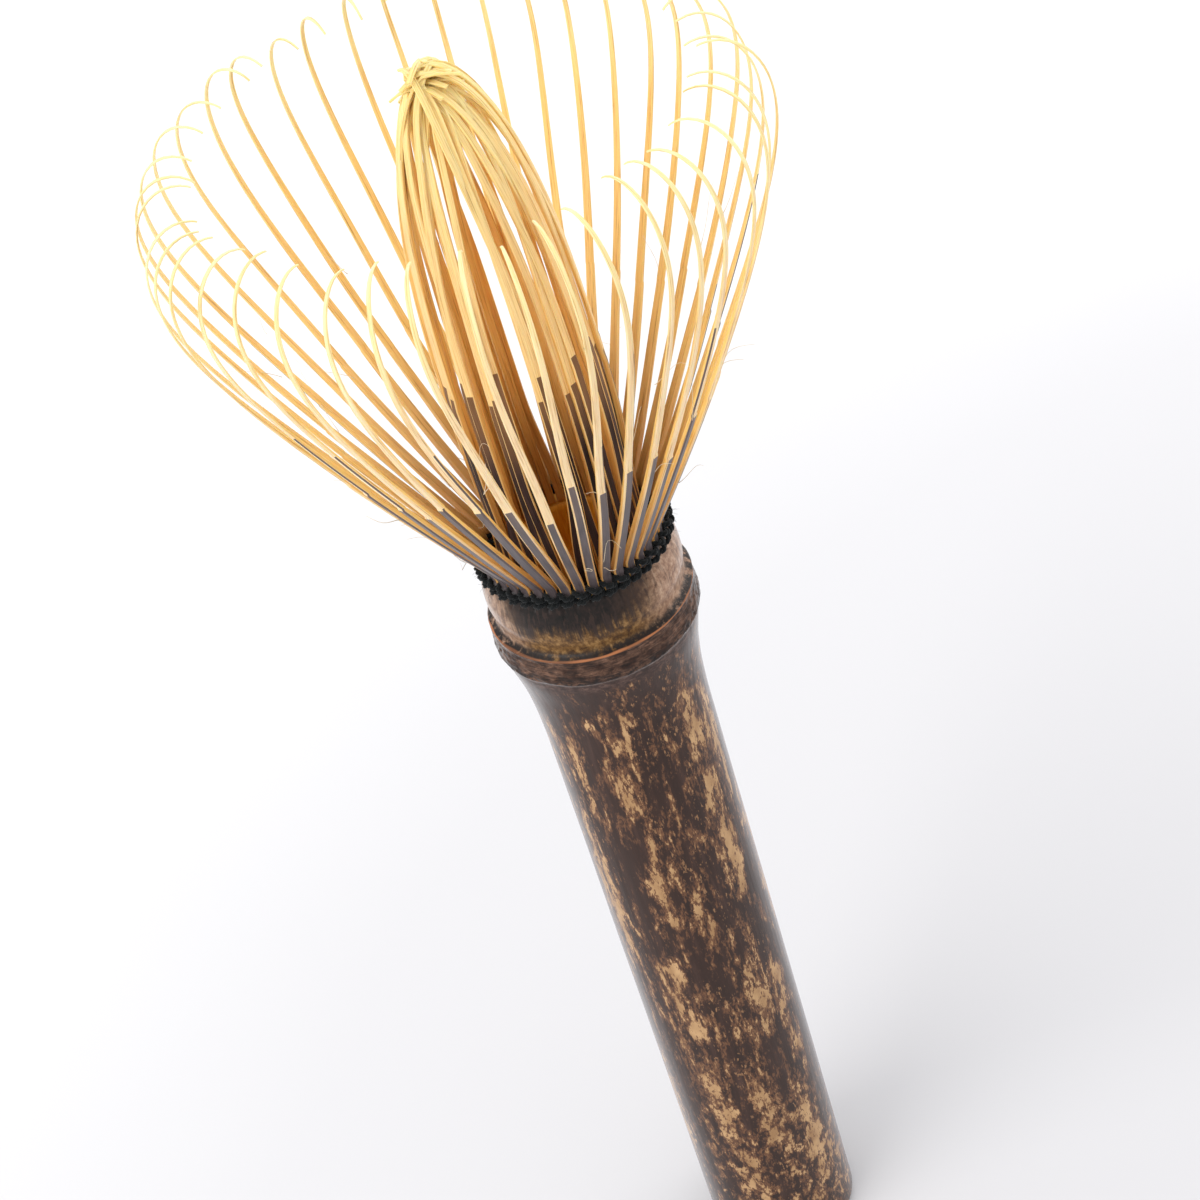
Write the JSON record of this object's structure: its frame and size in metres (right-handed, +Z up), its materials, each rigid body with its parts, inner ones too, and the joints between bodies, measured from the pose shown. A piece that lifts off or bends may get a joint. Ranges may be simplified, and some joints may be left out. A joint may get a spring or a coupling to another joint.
{
  "type": "bamboo tea whisk",
  "caption": "Matcha whisk cut from one smoked bamboo culm: long hollow handle, node collar, thread-bound flared row of curled springy tines round a gathered inner cluster.",
  "frame": {"origin": "middle of the handle's cut end, on the surface the whisk stands on", "axes": "+Z up along the culm's axis, from the handle's cut end towards the tines"},
  "size_m": [0.0614, 0.0614, 0.172],
  "materials": {
    "smoked_culm_skin": "satin dark brown bamboo skin with lengthwise tan flecks",
    "black_thread": "matte twisted cotton, fuzzy",
    "outer_tine_bamboo": "split bamboo, pale tan to golden, dark skin left at the root",
    "inner_tine_bamboo": "split bamboo, amber to golden, near-black skin left at the root"
  },
  "bodies": {
    "culm": {"bamboo_culm": "smoked_culm_skin", "binding_thread_outer_turns": "black_thread", "binding_thread_inner_run": "black_thread"},
    "outer_tine_01": {"outer_tine_01": "outer_tine_bamboo"},
    "outer_tine_02": {"outer_tine_02": "outer_tine_bamboo"},
    "outer_tine_03": {"outer_tine_03": "outer_tine_bamboo"},
    "outer_tine_04": {"outer_tine_04": "outer_tine_bamboo"},
    "outer_tine_05": {"outer_tine_05": "outer_tine_bamboo"},
    "outer_tine_06": {"outer_tine_06": "outer_tine_bamboo"},
    "outer_tine_07": {"outer_tine_07": "outer_tine_bamboo"},
    "outer_tine_08": {"outer_tine_08": "outer_tine_bamboo"},
    "outer_tine_09": {"outer_tine_09": "outer_tine_bamboo"},
    "outer_tine_10": {"outer_tine_10": "outer_tine_bamboo"},
    "outer_tine_11": {"outer_tine_11": "outer_tine_bamboo"},
    "outer_tine_12": {"outer_tine_12": "outer_tine_bamboo"},
    "outer_tine_13": {"outer_tine_13": "outer_tine_bamboo"},
    "outer_tine_14": {"outer_tine_14": "outer_tine_bamboo"},
    "outer_tine_15": {"outer_tine_15": "outer_tine_bamboo"},
    "outer_tine_16": {"outer_tine_16": "outer_tine_bamboo"},
    "outer_tine_17": {"outer_tine_17": "outer_tine_bamboo"},
    "outer_tine_18": {"outer_tine_18": "outer_tine_bamboo"},
    "outer_tine_19": {"outer_tine_19": "outer_tine_bamboo"},
    "outer_tine_20": {"outer_tine_20": "outer_tine_bamboo"},
    "outer_tine_21": {"outer_tine_21": "outer_tine_bamboo"},
    "outer_tine_22": {"outer_tine_22": "outer_tine_bamboo"},
    "outer_tine_23": {"outer_tine_23": "outer_tine_bamboo"},
    "outer_tine_24": {"outer_tine_24": "outer_tine_bamboo"},
    "outer_tine_25": {"outer_tine_25": "outer_tine_bamboo"},
    "outer_tine_26": {"outer_tine_26": "outer_tine_bamboo"},
    "outer_tine_27": {"outer_tine_27": "outer_tine_bamboo"},
    "outer_tine_28": {"outer_tine_28": "outer_tine_bamboo"},
    "outer_tine_29": {"outer_tine_29": "outer_tine_bamboo"},
    "outer_tine_30": {"outer_tine_30": "outer_tine_bamboo"},
    "outer_tine_31": {"outer_tine_31": "outer_tine_bamboo"},
    "outer_tine_32": {"outer_tine_32": "outer_tine_bamboo"},
    "outer_tine_33": {"outer_tine_33": "outer_tine_bamboo"},
    "outer_tine_34": {"outer_tine_34": "outer_tine_bamboo"},
    "outer_tine_35": {"outer_tine_35": "outer_tine_bamboo"},
    "outer_tine_36": {"outer_tine_36": "outer_tine_bamboo"},
    "outer_tine_37": {"outer_tine_37": "outer_tine_bamboo"},
    "outer_tine_38": {"outer_tine_38": "outer_tine_bamboo"},
    "outer_tine_39": {"outer_tine_39": "outer_tine_bamboo"},
    "outer_tine_40": {"outer_tine_40": "outer_tine_bamboo"},
    "outer_tine_41": {"outer_tine_41": "outer_tine_bamboo"},
    "outer_tine_42": {"outer_tine_42": "outer_tine_bamboo"},
    "inner_tine_fork_01": {"inner_tine_fork_01": "inner_tine_bamboo"},
    "inner_tine_fork_02": {"inner_tine_fork_02": "inner_tine_bamboo"},
    "inner_tine_fork_03": {"inner_tine_fork_03": "inner_tine_bamboo"},
    "inner_tine_fork_04": {"inner_tine_fork_04": "inner_tine_bamboo"},
    "inner_tine_fork_05": {"inner_tine_fork_05": "inner_tine_bamboo"},
    "inner_tine_fork_06": {"inner_tine_fork_06": "inner_tine_bamboo"},
    "inner_tine_fork_07": {"inner_tine_fork_07": "inner_tine_bamboo"},
    "inner_tine_fork_08": {"inner_tine_fork_08": "inner_tine_bamboo"},
    "inner_tine_fork_09": {"inner_tine_fork_09": "inner_tine_bamboo"},
    "inner_tine_fork_10": {"inner_tine_fork_10": "inner_tine_bamboo"},
    "inner_tine_fork_11": {"inner_tine_fork_11": "inner_tine_bamboo"},
    "inner_tine_fork_12": {"inner_tine_fork_12": "inner_tine_bamboo"},
    "inner_tine_fork_13": {"inner_tine_fork_13": "inner_tine_bamboo"},
    "inner_tine_fork_14": {"inner_tine_fork_14": "inner_tine_bamboo"}
  },
  "joints": [
    {"name": "outer_tine_01_flex", "type": "hinge", "parent": "culm", "child": "outer_tine_01", "pos_m": [0.00054, -0.00958, 0.116], "axis": [0.9984, 0.0558, 0], "range_deg": [-8, 8], "stiffness_Nm_per_rad": 0.003},
    {"name": "outer_tine_02_flex", "type": "hinge", "parent": "culm", "child": "outer_tine_02", "pos_m": [0.00196, -0.0094, 0.116], "axis": [0.979, 0.204, 0], "range_deg": [-8, 8], "stiffness_Nm_per_rad": 0.003},
    {"name": "outer_tine_03_flex", "type": "hinge", "parent": "culm", "child": "outer_tine_03", "pos_m": [0.00334, -0.009, 0.116], "axis": [0.9376, 0.3476, 0], "range_deg": [-8, 8], "stiffness_Nm_per_rad": 0.003},
    {"name": "outer_tine_04_flex", "type": "hinge", "parent": "culm", "child": "outer_tine_04", "pos_m": [0.00464, -0.0084, 0.116], "axis": [0.8753, 0.4835, 0], "range_deg": [-8, 8], "stiffness_Nm_per_rad": 0.003},
    {"name": "outer_tine_05_flex", "type": "hinge", "parent": "culm", "child": "outer_tine_05", "pos_m": [0.00584, -0.00762, 0.116], "axis": [0.7935, 0.6086, 0], "range_deg": [-8, 8], "stiffness_Nm_per_rad": 0.003},
    {"name": "outer_tine_06_flex", "type": "hinge", "parent": "culm", "child": "outer_tine_06", "pos_m": [0.00691, -0.00666, 0.116], "axis": [0.6939, 0.72, 0], "range_deg": [-8, 8], "stiffness_Nm_per_rad": 0.003},
    {"name": "outer_tine_07_flex", "type": "hinge", "parent": "culm", "child": "outer_tine_07", "pos_m": [0.00783, -0.00556, 0.116], "axis": [0.5789, 0.8154, 0], "range_deg": [-8, 8], "stiffness_Nm_per_rad": 0.003},
    {"name": "outer_tine_08_flex", "type": "hinge", "parent": "culm", "child": "outer_tine_08", "pos_m": [0.00857, -0.00433, 0.116], "axis": [0.4509, 0.8926, 0], "range_deg": [-8, 8], "stiffness_Nm_per_rad": 0.003},
    {"name": "outer_tine_09_flex", "type": "hinge", "parent": "culm", "child": "outer_tine_09", "pos_m": [0.00912, -0.003, 0.116], "axis": [0.3128, 0.9498, 0], "range_deg": [-8, 8], "stiffness_Nm_per_rad": 0.003},
    {"name": "outer_tine_10_flex", "type": "hinge", "parent": "culm", "child": "outer_tine_10", "pos_m": [0.00946, -0.00161, 0.116], "axis": [0.1678, 0.9858, 0], "range_deg": [-8, 8], "stiffness_Nm_per_rad": 0.003},
    {"name": "outer_tine_11_flex", "type": "hinge", "parent": "culm", "child": "outer_tine_11", "pos_m": [0.0096, -0.00018, 0.116], "axis": [0.0189, 0.9998, 0], "range_deg": [-8, 8], "stiffness_Nm_per_rad": 0.003},
    {"name": "outer_tine_12_flex", "type": "hinge", "parent": "culm", "child": "outer_tine_12", "pos_m": [0.00952, 0.00125, 0.116], "axis": [-0.1303, 0.9915, 0], "range_deg": [-8, 8], "stiffness_Nm_per_rad": 0.003},
    {"name": "outer_tine_13_flex", "type": "hinge", "parent": "culm", "child": "outer_tine_13", "pos_m": [0.00923, 0.00265, 0.116], "axis": [-0.2766, 0.961, 0], "range_deg": [-8, 8], "stiffness_Nm_per_rad": 0.003},
    {"name": "outer_tine_14_flex", "type": "hinge", "parent": "culm", "child": "outer_tine_14", "pos_m": [0.00873, 0.004, 0.116], "axis": [-0.4167, 0.909, 0], "range_deg": [-8, 8], "stiffness_Nm_per_rad": 0.003},
    {"name": "outer_tine_15_flex", "type": "hinge", "parent": "culm", "child": "outer_tine_15", "pos_m": [0.00803, 0.00526, 0.116], "axis": [-0.5476, 0.8368, 0], "range_deg": [-8, 8], "stiffness_Nm_per_rad": 0.003},
    {"name": "outer_tine_16_flex", "type": "hinge", "parent": "culm", "child": "outer_tine_16", "pos_m": [0.00716, 0.00639, 0.116], "axis": [-0.6662, 0.7458, 0], "range_deg": [-8, 8], "stiffness_Nm_per_rad": 0.003},
    {"name": "outer_tine_17_flex", "type": "hinge", "parent": "culm", "child": "outer_tine_17", "pos_m": [0.00613, 0.00739, 0.116], "axis": [-0.7699, 0.6382, 0], "range_deg": [-8, 8], "stiffness_Nm_per_rad": 0.003},
    {"name": "outer_tine_18_flex", "type": "hinge", "parent": "culm", "child": "outer_tine_18", "pos_m": [0.00496, 0.00822, 0.116], "axis": [-0.8564, 0.5163, 0], "range_deg": [-8, 8], "stiffness_Nm_per_rad": 0.003},
    {"name": "outer_tine_19_flex", "type": "hinge", "parent": "culm", "child": "outer_tine_19", "pos_m": [0.00368, 0.00887, 0.116], "axis": [-0.9238, 0.3829, 0], "range_deg": [-8, 8], "stiffness_Nm_per_rad": 0.003},
    {"name": "outer_tine_20_flex", "type": "hinge", "parent": "culm", "child": "outer_tine_20", "pos_m": [0.00231, 0.00932, 0.116], "axis": [-0.9705, 0.241, 0], "range_deg": [-8, 8], "stiffness_Nm_per_rad": 0.003},
    {"name": "outer_tine_21_flex", "type": "hinge", "parent": "culm", "child": "outer_tine_21", "pos_m": [0.0009, 0.00956, 0.116], "axis": [-0.9956, 0.0936, 0], "range_deg": [-8, 8], "stiffness_Nm_per_rad": 0.003},
    {"name": "outer_tine_22_flex", "type": "hinge", "parent": "culm", "child": "outer_tine_22", "pos_m": [-0.00054, 0.00958, 0.116], "axis": [-0.9984, -0.0558, 0], "range_deg": [-8, 8], "stiffness_Nm_per_rad": 0.003},
    {"name": "outer_tine_23_flex", "type": "hinge", "parent": "culm", "child": "outer_tine_23", "pos_m": [-0.00196, 0.0094, 0.116], "axis": [-0.979, -0.204, 0], "range_deg": [-8, 8], "stiffness_Nm_per_rad": 0.003},
    {"name": "outer_tine_24_flex", "type": "hinge", "parent": "culm", "child": "outer_tine_24", "pos_m": [-0.00334, 0.009, 0.116], "axis": [-0.9376, -0.3476, 0], "range_deg": [-8, 8], "stiffness_Nm_per_rad": 0.003},
    {"name": "outer_tine_25_flex", "type": "hinge", "parent": "culm", "child": "outer_tine_25", "pos_m": [-0.00464, 0.0084, 0.116], "axis": [-0.8753, -0.4835, 0], "range_deg": [-8, 8], "stiffness_Nm_per_rad": 0.003},
    {"name": "outer_tine_26_flex", "type": "hinge", "parent": "culm", "child": "outer_tine_26", "pos_m": [-0.00584, 0.00762, 0.116], "axis": [-0.7935, -0.6086, 0], "range_deg": [-8, 8], "stiffness_Nm_per_rad": 0.003},
    {"name": "outer_tine_27_flex", "type": "hinge", "parent": "culm", "child": "outer_tine_27", "pos_m": [-0.00691, 0.00666, 0.116], "axis": [-0.6939, -0.72, 0], "range_deg": [-8, 8], "stiffness_Nm_per_rad": 0.003},
    {"name": "outer_tine_28_flex", "type": "hinge", "parent": "culm", "child": "outer_tine_28", "pos_m": [-0.00783, 0.00556, 0.116], "axis": [-0.5789, -0.8154, 0], "range_deg": [-8, 8], "stiffness_Nm_per_rad": 0.003},
    {"name": "outer_tine_29_flex", "type": "hinge", "parent": "culm", "child": "outer_tine_29", "pos_m": [-0.00857, 0.00433, 0.116], "axis": [-0.4509, -0.8926, 0], "range_deg": [-8, 8], "stiffness_Nm_per_rad": 0.003},
    {"name": "outer_tine_30_flex", "type": "hinge", "parent": "culm", "child": "outer_tine_30", "pos_m": [-0.00912, 0.003, 0.116], "axis": [-0.3128, -0.9498, 0], "range_deg": [-8, 8], "stiffness_Nm_per_rad": 0.003},
    {"name": "outer_tine_31_flex", "type": "hinge", "parent": "culm", "child": "outer_tine_31", "pos_m": [-0.00946, 0.00161, 0.116], "axis": [-0.1678, -0.9858, 0], "range_deg": [-8, 8], "stiffness_Nm_per_rad": 0.003},
    {"name": "outer_tine_32_flex", "type": "hinge", "parent": "culm", "child": "outer_tine_32", "pos_m": [-0.0096, 0.00018, 0.116], "axis": [-0.0189, -0.9998, 0], "range_deg": [-8, 8], "stiffness_Nm_per_rad": 0.003},
    {"name": "outer_tine_33_flex", "type": "hinge", "parent": "culm", "child": "outer_tine_33", "pos_m": [-0.00952, -0.00125, 0.116], "axis": [0.1303, -0.9915, 0], "range_deg": [-8, 8], "stiffness_Nm_per_rad": 0.003},
    {"name": "outer_tine_34_flex", "type": "hinge", "parent": "culm", "child": "outer_tine_34", "pos_m": [-0.00923, -0.00265, 0.116], "axis": [0.2766, -0.961, 0], "range_deg": [-8, 8], "stiffness_Nm_per_rad": 0.003},
    {"name": "outer_tine_35_flex", "type": "hinge", "parent": "culm", "child": "outer_tine_35", "pos_m": [-0.00873, -0.004, 0.116], "axis": [0.4167, -0.909, 0], "range_deg": [-8, 8], "stiffness_Nm_per_rad": 0.003},
    {"name": "outer_tine_36_flex", "type": "hinge", "parent": "culm", "child": "outer_tine_36", "pos_m": [-0.00803, -0.00526, 0.116], "axis": [0.5476, -0.8368, 0], "range_deg": [-8, 8], "stiffness_Nm_per_rad": 0.003},
    {"name": "outer_tine_37_flex", "type": "hinge", "parent": "culm", "child": "outer_tine_37", "pos_m": [-0.00716, -0.00639, 0.116], "axis": [0.6662, -0.7458, 0], "range_deg": [-8, 8], "stiffness_Nm_per_rad": 0.003},
    {"name": "outer_tine_38_flex", "type": "hinge", "parent": "culm", "child": "outer_tine_38", "pos_m": [-0.00613, -0.00739, 0.116], "axis": [0.7699, -0.6382, 0], "range_deg": [-8, 8], "stiffness_Nm_per_rad": 0.003},
    {"name": "outer_tine_39_flex", "type": "hinge", "parent": "culm", "child": "outer_tine_39", "pos_m": [-0.00496, -0.00822, 0.116], "axis": [0.8564, -0.5163, 0], "range_deg": [-8, 8], "stiffness_Nm_per_rad": 0.003},
    {"name": "outer_tine_40_flex", "type": "hinge", "parent": "culm", "child": "outer_tine_40", "pos_m": [-0.00368, -0.00887, 0.116], "axis": [0.9238, -0.3829, 0], "range_deg": [-8, 8], "stiffness_Nm_per_rad": 0.003},
    {"name": "outer_tine_41_flex", "type": "hinge", "parent": "culm", "child": "outer_tine_41", "pos_m": [-0.00231, -0.00932, 0.116], "axis": [0.9705, -0.241, 0], "range_deg": [-8, 8], "stiffness_Nm_per_rad": 0.003},
    {"name": "outer_tine_42_flex", "type": "hinge", "parent": "culm", "child": "outer_tine_42", "pos_m": [-0.0009, -0.00956, 0.116], "axis": [0.9956, -0.0936, 0], "range_deg": [-8, 8], "stiffness_Nm_per_rad": 0.003},
    {"name": "inner_tine_fork_01_flex", "type": "hinge", "parent": "culm", "child": "inner_tine_fork_01", "pos_m": [0.00099, -0.00754, 0.116], "axis": [0.9915, 0.1303, 0], "range_deg": [0, 8], "stiffness_Nm_per_rad": 0.008},
    {"name": "inner_tine_fork_02_flex", "type": "hinge", "parent": "culm", "child": "inner_tine_fork_02", "pos_m": [0.00416, -0.00636, 0.116], "axis": [0.8368, 0.5476, 0], "range_deg": [0, 8], "stiffness_Nm_per_rad": 0.008},
    {"name": "inner_tine_fork_03_flex", "type": "hinge", "parent": "culm", "child": "inner_tine_fork_03", "pos_m": [0.00651, -0.00392, 0.116], "axis": [0.5163, 0.8564, 0], "range_deg": [0, 8], "stiffness_Nm_per_rad": 0.008},
    {"name": "inner_tine_fork_04_flex", "type": "hinge", "parent": "culm", "child": "inner_tine_fork_04", "pos_m": [0.00757, -0.00071, 0.116], "axis": [0.0936, 0.9956, 0], "range_deg": [0, 8], "stiffness_Nm_per_rad": 0.008},
    {"name": "inner_tine_fork_05_flex", "type": "hinge", "parent": "culm", "child": "inner_tine_fork_05", "pos_m": [0.00713, 0.00264, 0.116], "axis": [-0.3476, 0.9376, 0], "range_deg": [0, 8], "stiffness_Nm_per_rad": 0.008},
    {"name": "inner_tine_fork_06_flex", "type": "hinge", "parent": "culm", "child": "inner_tine_fork_06", "pos_m": [0.00527, 0.00547, 0.116], "axis": [-0.72, 0.6939, 0], "range_deg": [0, 8], "stiffness_Nm_per_rad": 0.008},
    {"name": "inner_tine_fork_07_flex", "type": "hinge", "parent": "culm", "child": "inner_tine_fork_07", "pos_m": [0.00238, 0.00722, 0.116], "axis": [-0.9498, 0.3128, 0], "range_deg": [0, 8], "stiffness_Nm_per_rad": 0.008},
    {"name": "inner_tine_fork_08_flex", "type": "hinge", "parent": "culm", "child": "inner_tine_fork_08", "pos_m": [-0.00099, 0.00754, 0.116], "axis": [-0.9915, -0.1303, 0], "range_deg": [0, 8], "stiffness_Nm_per_rad": 0.008},
    {"name": "inner_tine_fork_09_flex", "type": "hinge", "parent": "culm", "child": "inner_tine_fork_09", "pos_m": [-0.00416, 0.00636, 0.116], "axis": [-0.8368, -0.5476, 0], "range_deg": [0, 8], "stiffness_Nm_per_rad": 0.008},
    {"name": "inner_tine_fork_10_flex", "type": "hinge", "parent": "culm", "child": "inner_tine_fork_10", "pos_m": [-0.00651, 0.00392, 0.116], "axis": [-0.5163, -0.8564, 0], "range_deg": [0, 8], "stiffness_Nm_per_rad": 0.008},
    {"name": "inner_tine_fork_11_flex", "type": "hinge", "parent": "culm", "child": "inner_tine_fork_11", "pos_m": [-0.00757, 0.00071, 0.116], "axis": [-0.0936, -0.9956, 0], "range_deg": [0, 8], "stiffness_Nm_per_rad": 0.008},
    {"name": "inner_tine_fork_12_flex", "type": "hinge", "parent": "culm", "child": "inner_tine_fork_12", "pos_m": [-0.00713, -0.00264, 0.116], "axis": [0.3476, -0.9376, 0], "range_deg": [0, 8], "stiffness_Nm_per_rad": 0.008},
    {"name": "inner_tine_fork_13_flex", "type": "hinge", "parent": "culm", "child": "inner_tine_fork_13", "pos_m": [-0.00527, -0.00547, 0.116], "axis": [0.72, -0.6939, 0], "range_deg": [0, 8], "stiffness_Nm_per_rad": 0.008},
    {"name": "inner_tine_fork_14_flex", "type": "hinge", "parent": "culm", "child": "inner_tine_fork_14", "pos_m": [-0.00238, -0.00722, 0.116], "axis": [0.9498, -0.3128, 0], "range_deg": [0, 8], "stiffness_Nm_per_rad": 0.008}
  ]
}
